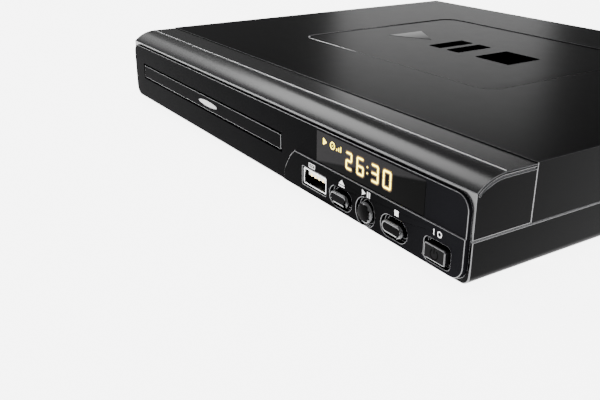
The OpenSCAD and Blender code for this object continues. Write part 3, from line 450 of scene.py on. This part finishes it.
def softened(node, bevel, segments=2, angle=32):
    words = node.split("_")
    name = words[0] + "".join(w.capitalize() for w in words[1:]) + "Skin"
    finish = ownFinish.get(node, finishes[slotOf[node]])
    edge = edges.get(edgeHighlightOf.get(node))
    mesh = finishedMesh(merged(node), name, bevel, segments, angle, finish, edge)
    if slotOf[node] == "button":  # painted highlight on the faces that turn to the right and to the front
        mesh.materials.append(edges["capShine"])
        for face in mesh.polygons:
            fromRight = face.normal.x > faceLimits["capRight"]
            if fromRight and face.normal.y < faceLimits["capFront"]:
                face.material_index = len(mesh.materials) - 1
    if node == "top_cover":  # its front edge carries a painted highlight, and its upright faces take the shell's darker tone, so the top is painted lighter than its sides
        mesh.materials.append(edges["edgeGleam"])
        mesh.materials.append(finishes["shell"])
        for face in mesh.polygons:
            if face.center.y < faceLimits["gleamY"] and face.normal.y < faceLimits["gleamFront"]:
                face.material_index = 2
            elif abs(face.normal.z) < faceLimits["upright"] and face.material_index == 0:
                face.material_index = 3
    if node == "front_bezel":  # its two ends take the shell's darker finish as painted shade
        mesh.materials.append(finishes["shell"])
        for face in mesh.polygons:
            if abs(face.normal.x) > faceLimits["end"] and face.material_index == 0:
                face.material_index = 2
    return addPiece(name, mesh, finish, bodyOf[node], slotOf[node], node)


moulding = {
    "seam": 30.0, "bevel": 0.18,
    "plain": ((46.4, 102.8, 17.15, 29.0), (-108.5, 25.8, 13.0, 21.8)),  # x and z limits: window, tray slot
}


def frontSkin():
    # the moulding's bevels carry a painted highlight, but not those round the window and the tray slot
    finish = finishes["panel"]
    welded = merged("front_panel", "control_panel", seam=moulding["seam"])
    bevelHighlight = edges["edgeBright"]
    mesh = finishedMesh(welded, "frontSkin", moulding["bevel"], faceFinish=finish, edgeHighlight=bevelHighlight)
    for face in mesh.polygons:
        x, z = face.center.x * 1000, face.center.z * 1000
        dull = any(x0 < x < x1 and z0 < z < z1 for x0, x1, z0, z1 in moulding["plain"])
        if face.material_index == 1 and dull:
            face.material_index = 0
    return addPiece("frontSkin", mesh, finish, "chassis", "panel", "front_panel", "control_panel")


# painted highlights: light tones on bevels and edges that stand in for glints
edges = {
    "edgeBright": plastic("paintedEdgeHighlight", (0.060, 0.060, 0.063), 0.24, 0.6, 0.001, 0.05, specular=0.6),
    "edgeGleam": metal("gleamingEdge", (0.80, 0.80, 0.81), 0.3, (1, 1, 1), 0.6, 0.001),
    "capShine": plastic("capShine", (0.030, 0.030, 0.031), 0.25, 0.6, 0.001, 0.05, specular=0.4),
    "edgeSoft": plastic("paintedSoftHighlight", (0.050, 0.050, 0.052), 0.28, 0.6, 0.001, 0.05, specular=0.5),
}
softEdges = {
    "bottom_case": 0.35, "top_cover": 0.22, "front_bezel": 0.2, "tray_door": 0.18,
    "display_window": 0.08, "open_button": 0.7, "play_button": 0.8, "stop_button": 0.7, "power_button": 0.35,
    "rear_panel": 0.2, "usb_shell": 0.1, "usb_tongue": 0.15, "foot_front_left": 0.3, "foot_front_right": 0.3,
    "foot_rear_left": 0.3, "foot_rear_right": 0.3, "video_jack": 0.25, "left_audio_jack": 0.25,
    "right_audio_jack": 0.25, "mains_inlet": 0.25, "hdmi_socket": 0.1, "disc_tray": 0.25, "turntable": 0.2,
}
for node, bevel in softEdges.items():
    softened(node, bevel, 4 if node.endswith("_button") else 2)
frontSkin()
print("edges rounded on", len(softEdges) + 2, "nodes")


# marks on the front: every mark is a thin raised print
extras = {
    "print": plastic("whitePrint", (0.62, 0.62, 0.62), 0.5, 0.3, 0.004, 0.3),
    "darkPrint": plastic("darkPrint", (0.0008, 0.0008, 0.0008), 0.5, 0.5, 0.003, 0.1, specular=0.0),
    "hot": glowing("litStroke", (1.0, 0.84, 0.05), 12.0),
    "rim": glowing("amberRim", (1.0, 0.58, 0.0), 1.1),
    "halo": glowing("amberHalo", (1.0, 0.45, 0.0), 0.10),
    "contact": metal("goldContact", (0.86, 0.66, 0.28), 0.22),
    # the field outline's painted highlight, fading to black along x
    "beadGleam": paintedSheenFade("beadGleam", (0.80, 0.80, 0.81), (0.001, 0.001, 0.001), (-62.0, -45.0),
                            slant=("Y", 0.67), metallic=1.0),
    # the top symbols' painted reflection, fading from grey to black along x
    "emblemFade": paintedSheenFade("emblemSheenFade", (0.6, 0.6, 0.6), (0.0004, 0.0004, 0.0004), (-47.0, -20.0)),
    "badge": plastic("badgePrint", (0.36, 0.36, 0.36), 0.5, 0.3, 0.004, 0.3),
    "tinned": metal("tinnedLeg", (0.72, 0.72, 0.70), 0.3),
}


def ringPoints(centre, radius, start=0.0, stop=360.0, steps=24):
    turn = [math.radians(start + (stop - start) * i / steps) for i in range(steps + 1)]
    return [(centre[0] + radius * math.cos(a), centre[1] + radius * math.sin(a)) for a in turn]


def printShape(bm, outline, y, thick=0.06):
    # a flat shape on the front: outline in x and z, its face at y
    front = [bm.verts.new(place(x, y, z)) for x, z in outline]
    back = [bm.verts.new(place(x, y + thick, z)) for x, z in outline]
    bm.faces.new(front)
    bm.faces.new(back[::-1])
    for i in range(len(front)):
        k = (i + 1) % len(front)
        bm.faces.new((front[k], front[i], back[i], back[k]))


def printArc(bm, centre, inner, outer, y, start=0.0, stop=360.0, thick=0.06, steps=24):
    # one closed band, or a closed ring when it goes all the way round
    closed = stop - start >= 360
    count = steps if closed else steps + 1
    rows = [[bm.verts.new(place(x, d, z)) for x, z in ringPoints(centre, radius, start, stop, steps)[:count]]
            for d, radius in ((y, outer), (y, inner), (y + thick, inner), (y + thick, outer))]
    for i in range(steps):
        k = (i + 1) % count
        for n in range(4):
            bm.faces.new((rows[n][i], rows[n][k], rows[(n + 1) % 4][k], rows[(n + 1) % 4][i]))
    if not closed:
        bm.faces.new([row[0] for row in rows])
        bm.faces.new([row[-1] for row in reversed(rows)])


def rectangle(x0, x1, z0, z1):
    return [(x0, z0), (x1, z0), (x1, z1), (x0, z1)]


def printed(bm, name, material, body, slot):
    bmesh.ops.recalc_face_normals(bm, faces=bm.faces)
    return addPiece(name, finishedMesh(bm, name), material, body, slot)


display = {
    "reading": "26:30", "faceY": -1.14, "low": 19.8, "high": 26.0, "stroke": 1.0, "gap": 0.28,
    "digitX": {0: (63.9, 67.6), 1: (69.7, 73.7), 3: (77.1, 81.1), 4: (82.9, 87.1)},
    "colonX": 75.35, "colonZ": (23.9, 21.9), "colonSize": 0.75, "dot": 0.01, "thick": 0.03,
    "layers": (("halo", 0.85, 0.0), ("rim", 0.52, 0.02), ("hot", 0.24, 0.04)),  # share of the width, lift
    "arrow": ((51.4, 24.5), (51.4, 26.4), (53.0, 25.45)), "arrowCore": ((51.9, 25.2), (51.9, 25.7)),
    "arrowWidth": 0.5, "discAt": (56.6, 25.35), "discRadius": 1.15, "discWidth": 0.42, "hubWidth": 0.55,
    "levelX": (59.0, 60.1, 61.2), "levelLow": 24.5, "levelHigh": 24.9, "levelRise": 0.55, "levelWidth": 0.5,
}
segmentsOf = {
    "0": "abcdef", "1": "bc", "2": "abged", "3": "abgcd", "4": "fgbc",
    "5": "afgcd", "6": "afgedc", "7": "abc", "8": "abcdefg", "9": "abcdfg",
}


def roundBar(bm, start, end, reach, y):
    # one thin bar with round ends, facing the front
    along = (Vector(end) - Vector(start)).normalized()
    across = Vector((-along.y, along.x))
    row = []
    for tip, first in ((Vector(end), -90), (Vector(start), 90)):
        for i in range(8):
            a = math.radians(first + 180 * i / 7)
            spot = tip + along * math.cos(a) * reach + across * math.sin(a) * reach
            row.append((spot.x, spot.y))
    printShape(bm, row, y, display["thick"])


def glowStroke(layers, start, end, width, level):
    for layer, share, lift in display["layers"]:
        roundBar(layers[layer], start, end, width * share, display["faceY"] - lift - level)


def litDot(layers, x, z, width, level):
    glowStroke(layers, (x, z), (x + display["dot"], z), width, level)


def litDigits(layers):
    # overlapping strokes lie at slightly different levels
    half, gap = display["stroke"] / 2, display["gap"]
    low, high = display["low"] + half, display["high"] - half
    middle = (low + high) / 2
    for i, digit in enumerate(display["reading"]):
        if digit == ":":
            for n, z in enumerate(display["colonZ"]):
                litDot(layers, display["colonX"], z, display["colonSize"], 0.001 * n)
            continue
        x0, x1 = display["digitX"][i][0] + half, display["digitX"][i][1] - half
        bars = {
            "a": ((x0 + gap, high), (x1 - gap, high)),
            "g": ((x0 + gap, middle), (x1 - gap, middle)),
            "d": ((x0 + gap, low), (x1 - gap, low)),
            "f": ((x0, middle + gap), (x0, high - gap)),
            "b": ((x1, middle + gap), (x1, high - gap)),
            "e": ((x0, low + gap), (x0, middle - gap)),
            "c": ((x1, low + gap), (x1, middle - gap)),
        }
        for n, key in enumerate(segmentsOf[digit]):
            glowStroke(layers, *bars[key], display["stroke"], 0.0012 * n)


def litSymbols(layers):
    # an arrow, a disc and three level bars
    corners = display["arrow"]
    strokes = [(corners[i], corners[(i + 1) % 3]) for i in range(3)] + [display["arrowCore"]]
    for n, (start, end) in enumerate(strokes):
        glowStroke(layers, start, end, display["arrowWidth"], 0.001 * n)
    x, z = display["discAt"]
    reach = display["discRadius"]
    turns = [math.radians(a) for a in range(0, 361, 30)]
    disc = [(x + reach * math.cos(a), z + reach * math.sin(a)) for a in turns]
    for n, (start, end) in enumerate(zip(disc, disc[1:])):
        glowStroke(layers, start, end, display["discWidth"], 0.0006 * n)
    litDot(layers, x, z, display["hubWidth"], 0.0)
    for n, x in enumerate(display["levelX"]):
        top = display["levelHigh"] + display["levelRise"] * n
        glowStroke(layers, (x, display["levelLow"]), (x, top), display["levelWidth"], 0.001)


def displayMarks():
    layers = {name: bmesh.new() for name in ("halo", "rim", "hot")}
    litDigits(layers)
    litSymbols(layers)
    for name, bm in layers.items():
        mesh = bpy.data.meshes.new("display" + name.capitalize())
        bm.to_mesh(mesh)
        bm.free()
        addPiece(mesh.name, mesh, extras[name], "chassis", "display")


displayMarks()


# what repeats or follows a path is grown by node trees, then turned into plain meshes
def startTree(name, sizes):
    tree = bpy.data.node_groups.new(name, "GeometryNodeTree")
    for label, kind in (("Geometry", "Geometry"), *sizes, ("Material", "Material")):
        tree.interface.new_socket(label, in_out="INPUT", socket_type="NodeSocket" + kind)
    tree.interface.new_socket("Geometry", in_out="OUTPUT", socket_type="NodeSocketGeometry")
    return tree, tree.nodes.new("NodeGroupInput").outputs


def treeNode(tree, kind, **inputs):
    node = tree.nodes.new("GeometryNode" + kind)
    for label, value in inputs.items():
        socket = node.inputs[label.replace("_", " ")]
        if hasattr(value, "is_linked"):
            tree.links.new(value, socket)
        else:
            socket.default_value = value
    return node


def joined(tree, *parts):
    join = tree.nodes.new("GeometryNodeJoinGeometry")
    for part in parts:
        tree.links.new(part, join.inputs["Geometry"])
    return join.outputs["Geometry"]


def endTree(tree, given, grown):
    # adds to what came in, so that several rows can share one body's mesh
    real = treeNode(tree, "RealizeInstances", Geometry=joined(tree, given["Geometry"], grown))
    painted = treeNode(tree, "SetMaterial", Geometry=real.outputs["Geometry"], Material=given["Material"])
    tree.links.new(painted.outputs["Geometry"], tree.nodes.new("NodeGroupOutput").inputs["Geometry"])
    return tree


def padRowTree():
    vectors = [(label, "Vector") for label in ("Start", "Step", "Pad", "Leg", "Leg Shift")]
    tree, given = startTree("padRow", (("Count", "Int"), *vectors))
    line = tree.nodes.new("GeometryNodeMeshLine")
    line.mode = "OFFSET"
    for label, socket in (("Count", "Count"), ("Start", "Start Location"), ("Step", "Offset")):
        tree.links.new(given[label], line.inputs[socket])
    pad = treeNode(tree, "MeshCube", Size=given["Pad"])
    leg = treeNode(tree, "MeshCube", Size=given["Leg"])
    moved = treeNode(tree, "Transform", Geometry=leg.outputs["Mesh"], Translation=given["Leg Shift"])
    both = joined(tree, pad.outputs["Mesh"], moved.outputs["Geometry"])
    row = treeNode(tree, "InstanceOnPoints", Points=line.outputs["Mesh"], Instance=both)
    return endTree(tree, given, row.outputs["Instances"])


def sweptTube(tree, path, wire, sides, **caps):
    # a round wire of that many sides along a path
    section = tree.nodes.new("GeometryNodeCurvePrimitiveCircle")
    section.inputs["Resolution"].default_value = sides
    tree.links.new(wire, section.inputs["Radius"])
    tube = treeNode(tree, "CurveToMesh", Curve=path, Profile_Curve=section.outputs["Curve"], **caps)
    return tube.outputs["Mesh"]


def threadTree():
    sizes = [(label, "Float") for label in ("Core", "Crest", "Turns", "Length", "Wire")]
    tree, given = startTree("thread", sizes)
    path = treeNode(tree, "CurveSpiral", Resolution=20, Rotations=given["Turns"], Start_Radius=given["Crest"],
                    End_Radius=given["Crest"], Height=given["Length"], Reverse=True)
    ridge = sweptTube(tree, path.outputs["Curve"], given["Wire"], 8, Fill_Caps=True)
    shaft = treeNode(tree, "MeshCylinder", Vertices=32, Radius=given["Core"], Depth=given["Length"])
    middle = tree.nodes.new("ShaderNodeCombineXYZ")
    half = tree.nodes.new("ShaderNodeMath")
    half.operation = "MULTIPLY"
    half.inputs[1].default_value = 0.5
    tree.links.new(given["Length"], half.inputs[0])
    tree.links.new(half.outputs["Value"], middle.inputs["Z"])
    raised = treeNode(tree, "Transform", Geometry=shaft.outputs["Mesh"], Translation=middle.outputs["Vector"])
    return endTree(tree, given, joined(tree, ridge, raised.outputs["Geometry"]))


def beadTree():
    sizes = [(label, "Float") for label in ("Width", "Depth", "Corner", "Wire")]
    tree, given = startTree("bead", sizes)
    frameCurve = tree.nodes.new("GeometryNodeCurvePrimitiveQuadrilateral")
    tree.links.new(given["Width"], frameCurve.inputs["Width"])
    tree.links.new(given["Depth"], frameCurve.inputs["Height"])
    rounded = tree.nodes.new("GeometryNodeFilletCurve")
    rounded.mode = "POLY"
    rounded.inputs["Count"].default_value = 12
    tree.links.new(frameCurve.outputs["Curve"], rounded.inputs["Curve"])
    tree.links.new(given["Corner"], rounded.inputs["Radius"])
    return endTree(tree, given, sweptTube(tree, rounded.outputs["Curve"], given["Wire"], 10))


def lineTree():
    tree, given = startTree("line", (("Start", "Vector"), ("End", "Vector"), ("Wire", "Float")))
    path = tree.nodes.new("GeometryNodeCurvePrimitiveLine")
    tree.links.new(given["Start"], path.inputs["Start"])
    tree.links.new(given["End"], path.inputs["End"])
    return endTree(tree, given, sweptTube(tree, path.outputs["Curve"], given["Wire"], 12, Fill_Caps=True))


def grown(name, tree, finish, rows):
    holder = bpy.data.objects.new(name + "Holder", bpy.data.meshes.new(name + "Start"))
    bpy.context.collection.objects.link(holder)
    for row in rows:
        step = holder.modifiers.new("grow", "NODES")
        step.node_group = tree
        for item in tree.interface.items_tree:
            if item.in_out == "INPUT" and item.name in row:
                step[item.identifier] = row[item.name]
            elif item.name == "Material":
                step[item.identifier] = finish
    evaluated = holder.evaluated_get(bpy.context.evaluated_depsgraph_get())
    mesh = bpy.data.meshes.new_from_object(evaluated)
    mesh.name = name
    holder.modifiers.clear()
    bpy.data.objects.remove(holder)
    return mesh


def padRow(count, start, step, pad, leg, shift):
    sizes = {"Step": step, "Pad": pad, "Leg": leg, "Leg Shift": shift}
    row = {label: [c * 0.001 for c in size] for label, size in sizes.items()}
    return {"Count": count, "Start": place(*start), **row}


# each row: count, first place, step, pad, leg and the leg's shift from its pad;
# the rows are the data socket's, the video socket's and the ribbon's
goldRows = [
    padRow(4, (42.8, 3.2, 10.14), (2.33, 0, 0), (1.1, 6.0, 0.12), (1.1, 0.12, 1.0), (0, -3.12, 0.44)),
    padRow(10, (47.2, 196.4, 15.24), (1, 0, 0), (0.45, 5.0, 0.1), (0.45, 5.0, 0.1), (0, 0, -1.28)),
    padRow(11, (3.7, 81.4, 5.22), (0, 1, 0), (73.0, 0.45, 0.06), (0.08, 0.45, 3.9), (37.0, 0, 1.95)),
]
chip = {
    "x": 73.35, "y": 105.4, "reach": 10.45, "count": 22, "pitch": 0.85, "memoryY": 132.4, "memoryReach": 6.45,
    "memoryCount": 8, "memoryPitch": 1.2, "base": 10.87, "long": 0.9, "wide": 0.35, "thick": 0.14,
    "drop": 0.62, "inward": 0.38, "lift": 0.3,
}


def legsAlongY(y, reach, count, pitch, side):
    start = (chip["x"] + side * reach, y - (count - 1) * pitch / 2, chip["base"])
    pad = (chip["long"], chip["wide"], chip["thick"])
    leg = (chip["thick"], chip["wide"], chip["drop"])
    return padRow(count, start, (0, pitch, 0), pad, leg, (-side * chip["inward"], 0, chip["lift"]))


def legsAlongX(side):
    firstX = chip["x"] - (chip["count"] - 1) * chip["pitch"] / 2
    start = (firstX, chip["y"] + side * chip["reach"], chip["base"])
    pad = (chip["wide"], chip["long"], chip["thick"])
    leg = (chip["wide"], chip["thick"], chip["drop"])
    shift = (0, -side * chip["inward"], chip["lift"])
    return padRow(chip["count"], start, (chip["pitch"], 0, 0), pad, leg, shift)


legRows = [legsAlongY(chip["y"], chip["reach"], chip["count"], chip["pitch"], side) for side in (-1, 1)]
legRows += [
    legsAlongY(chip["memoryY"], chip["memoryReach"], chip["memoryCount"], chip["memoryPitch"], side)
    for side in (-1, 1)
]
legRows += [legsAlongX(side) for side in (-1, 1)]
feed = {"core": 1.12, "crest": 1.19, "wire": 0.2, "lead": 3.0}
padRowGroup, threadGroup = padRowTree(), threadTree()
for name, finish, rows in (("goldContacts", "contact", goldRows), ("tinnedLegs", "tinned", legRows)):
    mesh = grown(name, padRowGroup, extras[finish], rows)
    addPiece(name, mesh, extras[finish], "chassis", "plated_steel")


def feedThread():
    # the thread follows the CAD shaft's own axis; it comes out right-handed, and the joint's coupling
    # needs a left-handed one, which the tree's spiral gives with Reverse off
    points = [v.co for v in nodes["feed_screw"].data.vertices]
    joint = next(j for j in frame["record"]["behaviour"]["joints"] if j["name"] == "feed_screw_spin")
    axis = Vector(joint["axis"]).normalized()
    centre = sum(points, Vector()) / len(points)
    along = [(p - centre).dot(axis) for p in points]
    length = max(along) - min(along)
    sizes = {label: feed[label.lower()] * 0.001 for label in ("Core", "Crest", "Wire")}
    sizes.update({"Length": length, "Turns": length * 1000 / feed["lead"]})
    mesh = grown("feedScrewThread", threadGroup, finishes["brass"], [sizes])
    turned = axis.to_track_quat("Z", "X").to_matrix().to_4x4()
    mesh.transform(Matrix.Translation(centre + axis * min(along)) @ turned)
    mesh.shade_smooth()
    mesh.set_sharp_from_angle(angle=smoothUnder)
    addPiece("feedScrewThread", mesh, finishes["brass"], "feed_screw", "brass", "feed_screw")


feedThread()
# painted highlights as thin lines: the outline of the top's field, fading from bright to dark along x, and
# the seam between cover and moulding (sizes in metres)
bead = {"middle": (-3.3, 113.2, 34.41), "Width": 0.124, "Depth": 0.0957, "Corner": 0.0077, "Wire": 0.00027}
mesh = grown("fieldGlintLine", beadTree(), extras["beadGleam"], [bead])
mesh.transform(Matrix.Translation(place(*bead["middle"])))
mesh.shade_smooth()
addPiece("fieldGlintLine", mesh, extras["beadGleam"], "chassis", "shell")
seam = {"Start": place(-119.4, 10.42, 34.53), "End": place(119.4, 10.42, 34.53), "Wire": 0.00013}
mesh = grown("seamGlintLine", lineTree(), edges["edgeGleam"], [seam])
mesh.shade_smooth()
mesh.set_sharp_from_angle(angle=smoothUnder)
addPiece("seamGlintLine", mesh, edges["edgeGleam"], "chassis", "shell")
print("contacts, legs, thread and beads grown")

marks = {
    "panelY": -1.54, "capY": -2.51,
    "plug": (43.2, 46.9, 14.0, 15.6), "plugWall": 0.25,
    "contactX": (44.3, 45.4), "contact": (0.5, 14.6, 15.0),
    "eject": ((61.0, 14.0), (64.2, 14.0), (62.6, 15.6)), "ejectBar": (61.0, 64.2, 13.2, 13.6),
    "play": ((73.6, 14.3), (75.4, 15.25), (73.6, 16.2)), "pauseX": (76.2, 77.1), "pause": (0.5, 14.3, 16.2),
    "stop": (89.6, 91.4, 13.4, 15.2), "onBar": (106.6, 106.95, 13.9, 15.7),
    "offRing": ((109.1, 14.8), 0.62, 0.95), "powerArc": ((108.5, 8.7), 1.35, 1.7), "powerOpening": (-235, 55),
    "powerBar": (108.33, 108.67, 9.0, 10.9),
}


def plugOutline():
    x0, x1, z0, z1 = marks["plug"]
    wall = marks["plugWall"]
    sides = ((x0, x1, z0, z0 + wall), (x0, x1, z1 - wall, z1))
    ends = ((x0, x0 + wall, z0 + wall, z1 - wall), (x1 - wall, x1, z0 + wall, z1 - wall))
    return sides + ends


bm = bmesh.new()
faceAt = marks["panelY"]
for side in plugOutline():
    printShape(bm, rectangle(*side), faceAt)
for name in ("contact", "pause"):
    wide, low, high = marks[name]
    for x in marks[name + "X"]:
        printShape(bm, rectangle(x, x + wide, low, high), faceAt)
for name in ("eject", "play"):
    printShape(bm, marks[name], faceAt)
for name in ("ejectBar", "stop", "onBar"):
    printShape(bm, rectangle(*marks[name]), faceAt)
printArc(bm, *marks["offRing"], faceAt)
printed(bm, "panelMarks", extras["print"], "chassis", "panel")

bm = bmesh.new()
printArc(bm, *marks["powerArc"], marks["capY"], *marks["powerOpening"])
printShape(bm, rectangle(*marks["powerBar"]), marks["capY"])
printed(bm, "powerMark", extras["darkPrint"], "power_key", "button")

badge = {"centre": (-36.0, 17.45), "halfWidth": 8.4, "halfHeight": 1.15, "faceY": -1.2, "thick": 0.12}
bm = bmesh.new()
x, z = badge["centre"]
turns = [math.radians(a) for a in range(0, 360, 10)]
oval = [(x + badge["halfWidth"] * math.cos(a), z + badge["halfHeight"] * math.sin(a)) for a in turns]
printShape(bm, oval, badge["faceY"], badge["thick"])
printed(bm, "doorBadge", extras["badge"], "tray", "tray_plastic")
print("front marks made")


# raised symbols on the top: play, pause and stop in one row
emblem = {
    "left": -45.0, "low": 103.0, "size": 20.0, "step": 29.0, "base": 34.32, "high": 0.25, "bevel": 0.12,
    "arrow": 0.95, "bars": (0.0, 0.58), "bar": 0.36, "square": 0.94, "inset": 0.03,
}


def topShape(bm, outline):
    base = [bm.verts.new(place(x, y, emblem["base"])) for x, y in outline]
    lid = [bm.verts.new(place(x, y, emblem["base"] + emblem["high"])) for x, y in outline]
    bm.faces.new(base[::-1])
    bm.faces.new(lid)
    for i in range(len(base)):
        k = (i + 1) % len(base)
        bm.faces.new((base[i], base[k], lid[k], lid[i]))


bm = bmesh.new()
x, y, size = emblem["left"], emblem["low"], emblem["size"]
topShape(bm, [(x, y), (x + size * emblem["arrow"], y + size / 2), (x, y + size)])
x += emblem["step"]
for shift in emblem["bars"]:
    topShape(bm, rectangle(x + size * shift, x + size * (shift + emblem["bar"]), y, y + size))
x += emblem["step"]
inset = size * emblem["inset"]
topShape(bm, rectangle(x, x + size * emblem["square"], y + inset, y + size - inset))
bmesh.ops.recalc_face_normals(bm, faces=bm.faces)
mesh = finishedMesh(bm, "topSymbols", emblem["bevel"])
# the symbols carry a painted reflection that fades along x
addPiece("topSymbols", mesh, extras["emblemFade"], "chassis", "shell")
print("top symbols made")
